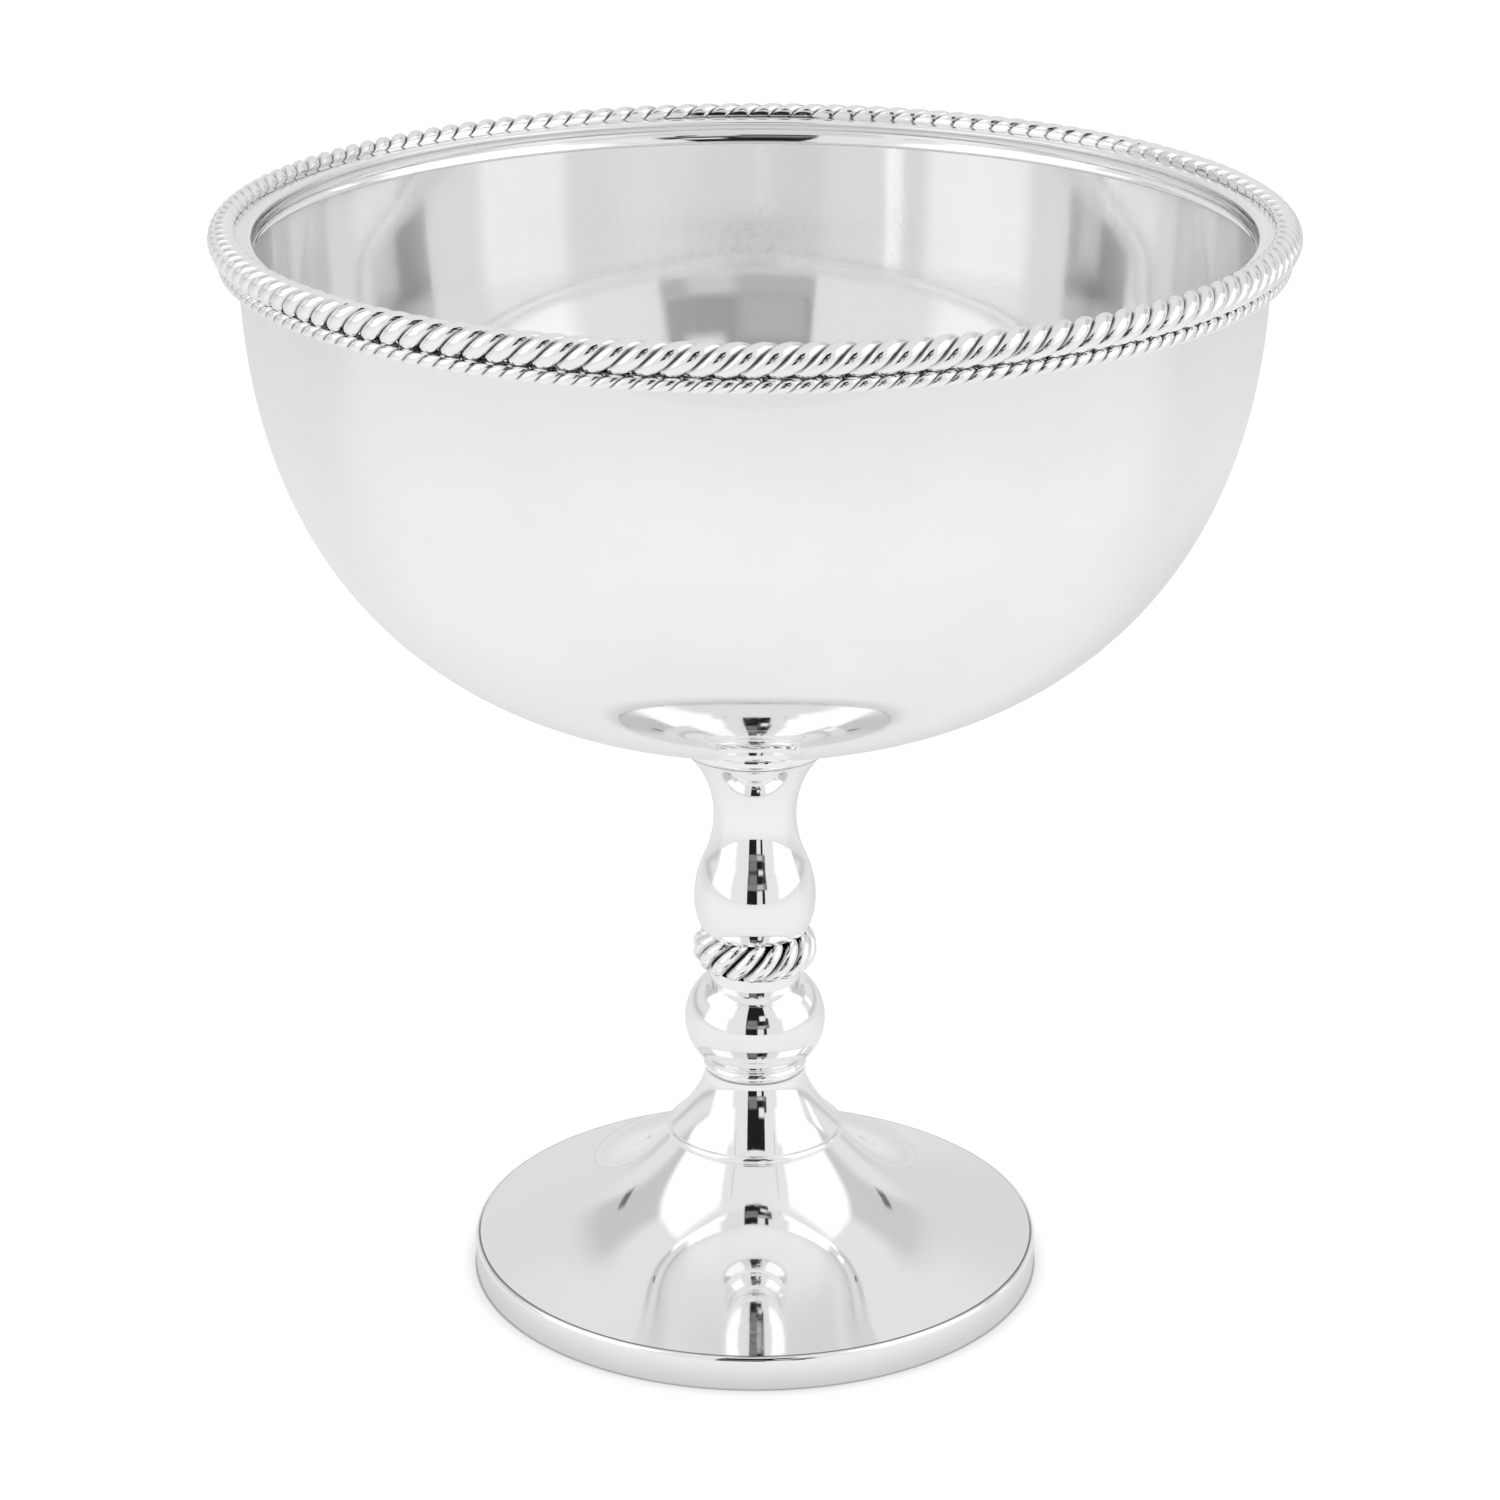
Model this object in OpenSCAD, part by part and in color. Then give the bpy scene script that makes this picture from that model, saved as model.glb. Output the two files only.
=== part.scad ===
// Footed compote bowl: a spun bowl with rope borders on a stem of turned
// pieces, drawn down onto a spread foot by one rod. Millimetres, +Z up, the
// origin on the table at the centre of the foot.

/* [Bowl] */
// Outer diameter of the bowl's wall at its edge
bowl_d = 192.4; // [150:0.2:240]
// Depth of the bowl outside, edge to bottom
bowl_depth = 96.8; // [70:0.2:120]
// Fullness of the bowl's curve, where 2 is an ellipse
bowl_fullness = 2.4; // [2:0.05:2.8]
// Thickness of the spun sheet
sheet = 1.2; // [0.8:0.1:2]

/* [Rim] */
// Thickness of the border's outer skirt, which carries both ropes
skirt = 0.85; // [0.6:0.05:1.5]
// Height of the border's outer skirt below the bowl's edge
skirt_h = 5.2; // [4.8:0.1:8]
// Thickness of the border's inner skirt
inner_skirt = 0.75; // [0.5:0.05:1.5]
// Height of the border's inner skirt below the bowl's edge
inner_skirt_h = 4.1; // [2.5:0.1:6]
// How far the lip's nose stands in from the inner skirt
lip_reach = 0.7; // [0.3:0.05:1.5]
// Height of the lip's crest above the bowl's edge
lip_h = 0.95; // [0.7:0.05:1.2]

/* [Ropes] */
// Thickness of the upper rope over its strands
upper_rope_d = 6; // [5:0.1:8]
// Number of strands round the upper rope
upper_strands = 140; // [60:1:180]
// Height of the upper rope's centre above the bowl's edge
upper_rope_lift = 0.35; // [0:0.05:1.5]
// Thickness of the lower rope over its strands
lower_rope_d = 2.8; // [2:0.1:4]
// Number of strands round the lower rope
lower_strands = 188; // [80:1:220]
// Thickness of the stem's rope collar over its strands
collar_rope_d = 8.8; // [6:0.1:12]
// Diameter of the stem's rope collar over its strands
collar_d = 24.8; // [20:0.1:32]
// Number of strands round the stem's rope collar
collar_strands = 16; // [10:1:24]

/* [Stem] */
// Diameter of the seat's beaded edge under the bowl
seat_d = 30; // [24:0.5:40]
// Thickness of the seat's bead
seat_bead = 3.5; // [2.5:0.1:5]
// Distance from the top of the seat's bead to the bowl
seat_rise = 3.4; // [2:0.1:6]
// Height of the upper baluster
vase_h = 38.1; // [30:0.1:50]
// Diameter of the baluster's flare under the seat
flare_d = 28; // [20:0.5:30]
// Diameter of the baluster's neck
neck_d = 16.3; // [12:0.1:18]
// Height of the neck above the baluster's base
neck_up = 24.4; // [18:0.1:28]
// Diameter of the baluster's belly
vase_d = 24.1; // [20:0.1:30]
// Height of the belly above the baluster's base
belly_up = 6.8; // [5:0.1:9]
// Diameter of the baluster's base
vase_base_d = 20.6; // [16:0.1:24]
// Height of the knop without its neck
knop_h = 16.6; // [12:0.1:20]
// Diameter of the knop
knop_d = 28; // [22:0.2:36]
// Diameter of the knop's two ends
knop_end_d = 20.2; // [16:0.2:22]
// Height of the short neck on the knop
knop_neck_h = 2.9; // [2:0.1:5]
// Diameter of the short neck on the knop
knop_neck_d = 18; // [14:0.2:22]
// Height of the bead ring between the knop and the foot
bead_h = 2.6; // [1.5:0.1:4]
// Diameter of the bead ring
bead_d = 20.6; // [16:0.2:24]

/* [Foot] */
// Diameter of the foot
foot_d = 113.8; // [90:0.2:140]
// Height of the foot's plain band, floor to crease
band_h = 6.9; // [4:0.1:12]
// Width of the band's ring under the foot
band_w = 2.6; // [2.2:0.1:5]
// Height of the spread foot, floor to the seam with the cone
foot_h = 28.3; // [20:0.1:40]
// Slope of the spread foot at its edge, as a share of its mean slope
edge_slope_share = 0.45; // [0.2:0.05:0.9]
// Slope of the spread foot under the cone, as a share of its mean slope
cone_slope_share = 2; // [1.2:0.05:2.4]
// Height of the cone over the spread foot
cone_h = 14; // [10:0.1:20]
// Diameter of the cone's top
cone_top_d = 20; // [16:0.2:24]
// Diameter of the ring round the cone's base
cone_ring_d = 35.6; // [30:0.2:44]
// Thickness of the ring round the cone's base
cone_ring = 1.8; // [1:0.1:3]
// How sharply the cone flares, where 1 is a straight cone
cone_flare = 1.65; // [1.2:0.05:2.5]
// Thickness of the cone's wall
cone_wall = 2.4; // [1.5:0.1:3]

/* [Draw rod] */
// Diameter of the draw rod
rod_d = 5; // [4:0.5:6]
// Diameter of the washer
washer_d = 15; // [12:0.5:17]
// Thickness of the washer
washer_h = 1.2; // [0.8:0.1:2]
// Width of the nut across its flats
nut_af = 8; // [7:0.5:10]
// Height of the nut
nut_h = 4; // [3:0.1:5]

/* [Hidden] */
$fn = 96;
// Film of solder or play between two seated pieces
seam = 0.05;
// Play of the draw rod in the pieces that it passes through
rod_play = 0.25;
// Overrun of a cut past the face that it opens
overrun = 1;

// Heights above the table, from the foot up
cone_z = foot_h;
bead_z = cone_z + cone_h;
knop_z = bead_z + bead_h;
collar_z = knop_z + knop_h + knop_neck_h;
// The rope collar bears on flats that take this share of its thickness away
collar_flat_share = 0.09;
collar_h = collar_rope_d * (1 - collar_flat_share);
vase_z = collar_z + collar_h;
seat_z = vase_z + vase_h;
bowl_bottom_z = seat_z + seat_bead + seat_rise;
rim_z = bowl_bottom_z + bowl_depth;

// Radii that several pieces share
bowl_r = bowl_d / 2;
inner_r = bowl_r - sheet;
inner_depth = bowl_depth - sheet;
skirt_r = bowl_r + seam + skirt;
inner_skirt_r = inner_r - seam - inner_skirt;
lip_r = inner_skirt_r - lip_reach;
rod_bore_r = rod_d / 2 + rod_play;
foot_r = foot_d / 2;
cone_base_r = (cone_ring_d - cone_ring) / 2;

// The band's rounded shoulder, and the ledge that carries the spun foot
shoulder_share = 0.16;
shoulder = band_h * shoulder_share;
// How far the crease stands in from the band's face, as a share of the shoulder
crease_share = 0.86;
crease_r = foot_r - shoulder * crease_share;
ledge_z = band_h - sheet - seam;
// Where the slopes of the foot's two ends meet, as a share of its width, and how
// far each end is pulled towards there
slope_meet_share = (cone_slope_share - 1) / (cone_slope_share - edge_slope_share);
edge_pull_share = 0.9;
cone_pull_share = 0.8;
// The web at the top of the cone, which the washer pulls against
web_share = 0.38;
web_z = cone_z + cone_h * (1 - web_share);
// How far the rod goes up into the seat, past its bead by a share of its rise
socket_share = 0.6;
rod_reach = seat_bead + seat_rise * socket_share;

// How far the cove's toe stands in again, as a share of the lip's reach
toe_share = 0.8;

// How deep the grooves between strands go, as a share of the rope's radius
upper_groove_share = 0.34;
lower_groove_share = 0.34;
collar_groove_share = 0.26;
// Strands that one trip round a rope's section crosses
upper_turns = 3;
lower_turns = 2;
collar_turns = 4;
// Steps of the curves, and of the ropes' sections
curve_steps = 12;
foot_steps = 36;
bowl_steps = 40;

// Points of the bowl's quarter curve, from its edge down to the axis
function bowl_curve(r, depth) =
    [for (i = [0 : bowl_steps])
        let (a = 90 * i / bowl_steps)
        [r * pow(cos(a), 2 / bowl_fullness), -depth * pow(sin(a), 2 / bowl_fullness)]];

// Height of the bowl's outside at a given radius
function bowl_outside(r) =
    rim_z - bowl_depth * pow(1 - pow(r / bowl_r, bowl_fullness), 1 / bowl_fullness);

function reversed(list) = [for (i = [len(list) - 1 : -1 : 0]) list[i]];

// Arc that starts upright at the first point and ends at the second
function belly(from, to) =
    let (dr = to[0] - from[0], dz = to[1] - from[1])
    let (rho = (dr * dr + dz * dz) / (2 * abs(dr)), sweep = 2 * atan2(abs(dr), abs(dz)))
    [for (i = [0 : curve_steps])
        let (a = sweep * i / curve_steps)
        [from[0] + sign(dr) * rho * (1 - cos(a)), from[1] + sign(dz) * rho * sin(a)]];

// Quarter of an ellipse that leaves the first point upright
function quarter(from, to) =
    [for (i = [0 : curve_steps])
        let (a = 90 * i / curve_steps)
        [to[0] + (from[0] - to[0]) * cos(a), from[1] + (to[1] - from[1]) * sin(a)]];

// Half-round edge from one height to another, standing out of the radius r
function half_round(r, z_low, z_high) =
    let (e = (z_high - z_low) / 2)
    [for (i = [0 : curve_steps])
        let (a = 180 * i / curve_steps - 90)
        [r - e + e * cos(a), z_low + e + e * sin(a)]];

// Turned piece with a bore for the draw rod
module turned(outline, bore_r) {
    low = outline[0][1];
    high = outline[len(outline) - 1][1];
    rotate_extrude()
        polygon(concat([[bore_r, low]], outline, [[bore_r, high]]));
}

// Ring of twisted strands. Each strand is one rib of the surface: it winds
// round the ring's section while it runs along the ring, so that every groove
// is a true edge. The back is held at wall_r, and the two ends at half_h.
module twisted_ring(ring_r, rope_r, strands, turns, samples, steps, groove_share, wall_r, half_h) {
    ribs = strands * samples;
    points = [for (i = [0 : ribs - 1], j = [0 : steps - 1])
        let (across = 360 * j / steps)
        let (along = 360 * (i / samples + turns * j / steps) / strands)
        let (r = rope_r * (i % samples == 0 ? 1 - groove_share : 1))
        let (x = max(wall_r, ring_r + r * cos(across)))
        [x * cos(along), x * sin(along), max(-half_h, min(half_h, r * sin(across)))]];
    // A section closes on the strand that the twist has reached by then
    function at(i, j) = j < steps
        ? (i % ribs) * steps + j
        : ((i + turns * samples) % ribs) * steps;
    faces = [for (i = [0 : ribs - 1], j = [0 : steps - 1], half = [0, 1])
        half == 0
            ? [at(i, j), at(i, j + 1), at(i + 1, j + 1)]
            : [at(i, j), at(i + 1, j + 1), at(i + 1, j)]];
    polyhedron(points = points, faces = faces);
}

module bowl_shell() {
    color("gainsboro")
    translate([0, 0, rim_z])
    rotate_extrude()
        polygon(concat(
            bowl_curve(bowl_r, bowl_depth),
            reversed(bowl_curve(inner_r, inner_depth))));
}

// Channel over the bowl's edge: skirts on both sides and a rounded lip on top,
// which leaves a ledge for the upper rope. Inside, a cove runs round under the lip
module rim_border() {
    nose_z = lip_h / 4;
    crest_r = skirt_r - skirt / 2;
    cove = [inner_skirt_r, -inner_skirt_h / 2];
    toe = [inner_skirt_r - lip_reach * toe_share, -inner_skirt_h + inner_skirt / 2];
    color("whitesmoke")
    translate([0, 0, rim_z])
    rotate_extrude()
        polygon(concat(
            [[bowl_r + seam, seam], [bowl_r + seam, -skirt_h], [skirt_r, -skirt_h]],
            quarter([skirt_r, lip_h - skirt / 2], [crest_r, lip_h]),
            reversed(quarter([lip_r, nose_z], [crest_r, lip_h])),
            reversed(belly(cove, [lip_r, nose_z - lip_reach / 2])),
            belly(cove, toe),
            belly(toe, [inner_r - seam, -inner_skirt_h]),
            [[inner_r - seam, seam]]));
}

module upper_rope() {
    rope_r = upper_rope_d / 2;
    // The rope's back is flattened where it is soldered to the skirt
    back_share = 0.46;
    ring_r = skirt_r + seam + rope_r * back_share;
    color("silver")
    translate([0, 0, rim_z + upper_rope_lift])
        twisted_ring(ring_r, rope_r, upper_strands, upper_turns, 3, 8,
            upper_groove_share, skirt_r + seam, rope_r);
}

module lower_rope() {
    rope_r = lower_rope_d / 2;
    // It lies right under the upper rope, against the same skirt
    drop = upper_rope_d / 2 - upper_rope_lift + rope_r;
    color("silver")
    translate([0, 0, rim_z - drop])
        twisted_ring(skirt_r + seam + rope_r, rope_r, lower_strands, lower_turns, 2, 6,
            lower_groove_share, skirt_r + seam, rope_r);
}

// Boss brazed under the bowl, with a beaded edge and a socket for the rod
module bowl_seat() {
    bead_top = seat_z + seat_bead;
    throat_r = seat_d / 2 - seat_bead / 2;
    // How far the crown spreads under the bowl, as a share of the seat's rise
    spread_share = 0.9;
    crown_r = throat_r + seat_rise * spread_share;
    crown_steps = 4;
    crown = [for (i = [crown_steps : -1 : 0])
        let (r = crown_r * i / crown_steps)
        [r, bowl_outside(r) - seam]];
    color("gainsboro")
    difference() {
        rotate_extrude()
            polygon(concat(
                [[0, seat_z]],
                half_round(seat_d / 2, seat_z, bead_top),
                belly([throat_r, bead_top], crown[0]),
                crown));
        translate([0, 0, seat_z - overrun])
            cylinder(h = overrun + rod_reach, d = rod_d + seam);
    }
}

module stem_vase() {
    base_r = vase_base_d / 2;
    neck_r = neck_d / 2;
    belly_r = vase_d / 2;
    middle = [(belly_r + neck_r) / 2, vase_z + (belly_up + neck_up) / 2];
    color("gainsboro")
    turned(concat(
        reversed(belly([belly_r, vase_z + belly_up], [base_r, vase_z])),
        belly([belly_r, vase_z + belly_up], middle),
        reversed(belly([neck_r, vase_z + neck_up], middle)),
        belly([neck_r, vase_z + neck_up], [flare_d / 2, seat_z])), rod_bore_r);
}

module rope_collar() {
    rope_r = collar_rope_d / 2;
    color("silver")
    translate([0, 0, collar_z + collar_h / 2])
        twisted_ring(collar_d / 2 - rope_r, rope_r, collar_strands, collar_turns, 6, 12,
            collar_groove_share, rod_bore_r, collar_h / 2);
}

module stem_knop() {
    end_r = knop_end_d / 2;
    middle_z = knop_z + knop_h / 2;
    top_z = knop_z + knop_h;
    color("gainsboro")
    turned(concat(
        reversed(belly([knop_d / 2, middle_z], [end_r, knop_z])),
        belly([knop_d / 2, middle_z], [end_r, top_z]),
        [[knop_neck_d / 2, top_z], [knop_neck_d / 2, collar_z]]), rod_bore_r);
}

module bead_ring() {
    color("gainsboro")
    turned(half_round(bead_d / 2, bead_z, knop_z), rod_bore_r);
}

// Cone over the spread foot, open below, with a ring round its base
module foot_cone() {
    top_r = cone_top_d / 2;
    flare_h = cone_h - cone_ring;
    function side(inset) = [for (i = [0 : curve_steps])
        let (t = i / curve_steps)
        [top_r + (cone_base_r - top_r) * pow(t, cone_flare) - inset, bead_z - flare_h * t]];
    color("gainsboro")
    difference() {
        rotate_extrude()
            polygon(concat(
                [[0, bead_z]], side(0),
                reversed(half_round(cone_ring_d / 2, cone_z, cone_z + cone_ring)),
                [[0, cone_z]]));
        // The hollow follows the cone's own side up to the web
        intersection() {
            rotate_extrude()
                polygon(concat(
                    [[0, bead_z]], side(cone_wall),
                    [[cone_base_r - cone_wall, cone_z - overrun], [0, cone_z - overrun]]));
            translate([0, 0, cone_z - overrun])
                cylinder(h = web_z - cone_z + overrun, r = cone_ring_d);
        }
        translate([0, 0, web_z - overrun])
            cylinder(h = bead_z - web_z + 2 * overrun, r = rod_bore_r);
    }
}

// Spun foot: a sheet that sweeps out from under the cone to the band
module foot_shell() {
    rise = foot_h - band_h;
    hole_r = cone_base_r - 2 * cone_wall;
    edge_reach_share = slope_meet_share * edge_pull_share;
    cone_reach_share = (1 - slope_meet_share) * cone_pull_share;
    // Curve from 0 to 1 whose ends are drawn on by the two given shares
    function bend(t, edge_share, cone_share) =
        3 * (1 - t) * (1 - t) * t * edge_share
        + 3 * (1 - t) * t * t * (1 - cone_share)
        + t * t * t;
    function sweep(drop) = [for (i = [0 : foot_steps])
        let (t = i / foot_steps)
        let (in_share = bend(t, edge_reach_share, cone_reach_share))
        let (up_share = bend(t, edge_reach_share * edge_slope_share,
            cone_reach_share * cone_slope_share))
        [crease_r - (crease_r - cone_base_r) * in_share, band_h + rise * up_share - drop]];
    color("whitesmoke")
    rotate_extrude()
        polygon(concat(
            sweep(0), [[hole_r, foot_h]],
            [[hole_r, foot_h - sheet]], reversed(sweep(sheet))));
}

// Plain ring that the foot stands on, with a rounded shoulder and a ledge
module foot_band() {
    color("gainsboro")
    rotate_extrude()
        polygon(concat(
            [[foot_r - band_w, ledge_z], [foot_r - band_w, 0], [foot_r, 0]],
            quarter([foot_r, band_h - shoulder], [crease_r + seam, band_h]),
            [[crease_r + seam, ledge_z]]));
}

module draw_rod() {
    // It ends a quarter of its diameter below the nut
    low = web_z - washer_h - nut_h - rod_d / 4;
    color("dimgray")
    translate([0, 0, low])
        cylinder(h = seat_z + rod_reach - seam - low, d = rod_d);
}

module rod_washer() {
    color("darkgray")
    translate([0, 0, web_z - washer_h])
    difference() {
        cylinder(h = washer_h, d = washer_d);
        translate([0, 0, -overrun])
            cylinder(h = washer_h + 2 * overrun, r = rod_bore_r);
    }
}

module rod_nut() {
    color("darkgray")
    translate([0, 0, web_z - washer_h - nut_h])
    difference() {
        cylinder(h = nut_h, d = nut_af / cos(30), $fn = 6);
        translate([0, 0, -overrun])
            cylinder(h = nut_h + 2 * overrun, d = rod_d + seam);
    }
}

bowl_shell();
rim_border();
upper_rope();
lower_rope();
bowl_seat();
stem_vase();
rope_collar();
stem_knop();
bead_ring();
foot_cone();
foot_shell();
foot_band();
draw_rod();
rod_washer();
rod_nut();
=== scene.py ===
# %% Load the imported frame
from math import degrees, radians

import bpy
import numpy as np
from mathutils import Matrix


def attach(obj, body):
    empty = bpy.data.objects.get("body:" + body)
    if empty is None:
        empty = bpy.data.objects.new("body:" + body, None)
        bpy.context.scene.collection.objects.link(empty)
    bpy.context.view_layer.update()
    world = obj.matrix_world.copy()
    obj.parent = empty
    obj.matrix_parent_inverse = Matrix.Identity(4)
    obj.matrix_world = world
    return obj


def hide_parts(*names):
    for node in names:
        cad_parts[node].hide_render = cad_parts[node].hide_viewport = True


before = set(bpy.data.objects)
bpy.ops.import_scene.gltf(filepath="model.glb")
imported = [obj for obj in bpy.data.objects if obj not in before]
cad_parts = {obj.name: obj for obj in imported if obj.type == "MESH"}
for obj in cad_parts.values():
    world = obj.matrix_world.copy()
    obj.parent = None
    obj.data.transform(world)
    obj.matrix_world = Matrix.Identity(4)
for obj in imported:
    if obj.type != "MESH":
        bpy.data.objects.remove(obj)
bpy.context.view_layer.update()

# %% [markdown]
# # A footed compote bowl in polished silver plate
#
# The bowl is spun from sheet, its rim is capped by a smooth channel with two
# twisted ropes soldered round it, and the stem is a stack of turned pieces on
# a spread foot. Everything but the ropes is a solid of revolution, so one
# function that carries a profile round the axis makes most of the pieces.
# Polished metal has hardly any colour of its own: what the eye reads is the
# room in it. So the room, a white tent with a slot for the camera, gets as
# much care as the metal.

MM = 0.001

# %% [markdown]
# ## The camera
#
# The picture was taken from a little above the rim with a long lens. The lens,
# distance and tilt below come from fitting the rim's and the foot's ellipses
# and the outline of the bowl to the photograph, on a frame of 1500 by 1500.

# %% Camera
FRAME_PX, LENS_PX, SHIFT_PX, SENSOR_MM = 1500, 4092.5, -5, 36
EYE_BACK, EYE_UP, EYE_TILT = 750.5, 387.7, 20.314
camera_data = bpy.data.cameras.new("camera")
camera_data.sensor_width = SENSOR_MM
camera_data.lens = LENS_PX / FRAME_PX * SENSOR_MM
camera_data.shift_x = SHIFT_PX / FRAME_PX
camera_data.clip_start = 0.01
camera_data.clip_end = 50
camera = bpy.data.objects.new("camera", camera_data)
camera.location = (0, -EYE_BACK * MM, EYE_UP * MM)
camera.rotation_euler = (radians(90 - EYE_TILT), 0, 0)
bpy.context.scene.collection.objects.link(camera)
bpy.context.scene.camera = camera
print("Lens", round(camera_data.lens, 1), "mm, camera at", tuple(camera.location))

# %% [markdown]
# ## Sizes
#
# The pieces below are finer versions of the CAD solids, so they share their
# sizes, in millimetres. The heights stack up from the table as the real pieces
# do on their rod.

# %% Sizes shared with the solids
SHEET, BORDER_SHEET, INNER_SHEET, CONE_WALL = 1.2, 0.85, 0.75, 2.4
SEAM, BORE_R = 0.05, 2.75
FOOT_R, BAND_H, BAND_W = 56.9, 6.9, 2.6
SHOULDER = 0.16 * BAND_H
CREASE_R = FOOT_R - 0.86 * SHOULDER
CONE_Z, CONE_H, CONE_BASE_R, CONE_RING = 28.3, 14.0, 16.9, 1.8
BEAD_H, KNOP_H, KNOP_NECK_H = 2.6, 16.6, 2.9
COLLAR_WIRE, COLLAR_SHARE, VASE_H = 8.8, 0.91, 38.1
SEAT_BEAD_H, CROWN_H = 3.5, 3.4
BOWL_R, BOWL_DEPTH, FULLNESS = 96.2, 96.8, 2.4

# %% The stack from the table to the rim
BEAD_Z = CONE_Z + CONE_H
KNOP_Z = BEAD_Z + BEAD_H
COLLAR_Z = KNOP_Z + KNOP_H + KNOP_NECK_H
COLLAR_H = COLLAR_WIRE * COLLAR_SHARE
VASE_Z = COLLAR_Z + COLLAR_H
SEAT_Z = VASE_Z + VASE_H
RIM_Z = SEAT_Z + SEAT_BEAD_H + CROWN_H + BOWL_DEPTH
SKIRT_R = BOWL_R + SEAM + BORDER_SHEET

# %% [markdown]
# ## Turning a profile on the lathe
#
# A wood or metal turner thinks in profiles, and so does this function: it
# takes the half outline as points of radius and height and carries it round
# the axis. Whole arrays give all the points at once. A point on the axis
# becomes one pole, closed by a fan of triangles, and the sign of the outline's
# area says which way the faces have to look. Sharp corners stay sharp, because
# edges that bend by more than 40 degrees are marked so.

# %% Mesh and lathe helpers
def to_piece(name, points, faces, corner=40):
    """Puts points in millimetres and faces into a mesh, shaded smooth but at its corners."""
    mesh = bpy.data.meshes.new(name)
    mesh.from_pydata((np.asarray(points) * MM).tolist(), [], faces)
    mesh.shade_smooth()
    mesh.set_sharp_from_angle(angle=radians(corner))
    mesh.validate()
    piece = bpy.data.objects.new(name, mesh)
    bpy.context.scene.collection.objects.link(piece)
    return piece


def lathe(name, profile, turns=256):
    """Carries a closed outline round Z: (r, z) at the angle a is (r cos a, r sin a, z)."""
    profile = np.asarray(profile, float)
    r, z = profile.T
    area = np.sum(r * np.roll(z, -1) - np.roll(r, -1) * z) / 2
    if area < 0:
        r, z = r[::-1], z[::-1]
    count = len(r)
    a = np.arange(turns)[:, None] * 2 * np.pi / turns
    level = np.broadcast_to(z, (turns, count))
    points = np.stack([r * np.cos(a), r * np.sin(a), level], -1)
    index = np.arange(turns * count).reshape(turns, count)
    pole = r < 1e-6
    index[:, pole] = index[:1, pole]
    here, there = index, np.roll(index, -1, 0)
    quads = np.stack([here, there, np.roll(there, -1, 1), np.roll(here, -1, 1)], -1)
    after = np.roll(pole, -1)
    faces = quads[:, ~pole & ~after].reshape(-1, 4).tolist()
    faces += quads[:, pole & ~after][..., [0, 2, 3]].reshape(-1, 3).tolist()
    faces += quads[:, ~pole & after][..., [0, 1, 2]].reshape(-1, 3).tolist()
    used = np.unique(index)
    where = np.zeros(turns * count, int)
    where[used] = np.arange(len(used))
    faces = [[int(where[v]) for v in face] for face in faces]
    return to_piece(name, points.reshape(-1, 3)[used], faces)


# %% [markdown]
# ## Curves of the profiles
#
# Turned pieces are made of a few curves: an arc that leaves a point upright,
# which is what a belly or a throat does at its widest and narrowest place, a
# quarter of an ellipse, and a half-round bead. The bowl is none of these. It
# is fuller than a half circle, and a curve whose powers of radius and height
# add up to one, with an exponent of 2.4, follows it all the way.

# %% Profile curves
def belly(first, last, steps=24):
    """Arc that is upright at the first point: its centre lies level with it, at rho away."""
    dr, dz = last[0] - first[0], last[1] - first[1]
    rho = (dr * dr + dz * dz) / (2 * abs(dr))
    a = np.linspace(0, 2 * np.arctan2(abs(dr), abs(dz)), steps + 1)
    return np.stack([first[0] + np.sign(dr) * rho * (1 - np.cos(a)),
                     first[1] + np.sign(dz) * rho * np.sin(a)], 1)


def quarter(first, last, steps=20):
    """Quarter of an ellipse that is upright at the first point and level at the last."""
    a = np.linspace(0, np.pi / 2, steps + 1)
    return np.stack([last[0] + (first[0] - last[0]) * np.cos(a),
                     first[1] + (last[1] - first[1]) * np.sin(a)], 1)


def half_round(r, low, high, steps=28):
    """Half circle that stands between two heights and reaches the radius r."""
    e = (high - low) / 2
    a = np.linspace(-np.pi / 2, np.pi / 2, steps + 1)
    return np.stack([r - e + e * np.cos(a), low + e + e * np.sin(a)], 1)


def bowl_curve(r, depth, steps=150):
    """Quarter of the bowl: (r cos^p a, -depth sin^p a) with p = 2 / fullness."""
    a = np.linspace(0, np.pi / 2, steps + 1)
    p = 2 / FULLNESS
    out = r * np.clip(np.cos(a), 0, 1) ** p
    return np.stack([out, RIM_Z - depth * np.sin(a) ** p], 1)


def bowl_outside(r):
    """Height of the bowl's outside over the radius r."""
    return RIM_Z - BOWL_DEPTH * (1 - (r / BOWL_R) ** FULLNESS) ** (1 / FULLNESS)


def thickened(curve, depths, extra):
    """Moves a wall's inside along its normal by a smooth curve through the extra at each
    depth. With t running from 0 to 1 between two depths, the curve is
    (2t^3 - 3t^2 + 1) from + (3t^2 - 2t^3) to + (t^3 - 2t^2 + t) and (t^3 - t^2) times
    the two slopes, and it ends on the axis."""
    depth = RIM_Z - curve[:, 1]
    slope = np.gradient(extra, depths)
    k = np.clip(np.searchsorted(depths, depth) - 1, 0, len(depths) - 2)
    span = depths[k + 1] - depths[k]
    t = np.clip((depth - depths[k]) / span, 0, 1)
    inward = ((2 * t**3 - 3 * t**2 + 1) * extra[k]
              + (t**3 - 2 * t**2 + t) * span * slope[k]
              + (3 * t**2 - 2 * t**3) * extra[k + 1]
              + (t**3 - t**2) * span * slope[k + 1])
    along = np.gradient(curve, axis=0)
    along /= np.linalg.norm(along, axis=1)[:, None]
    moved = curve + np.stack([along[:, 1], -along[:, 0]], 1) * inward[:, None]
    moved[-1, 0] = 0
    return moved


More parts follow.
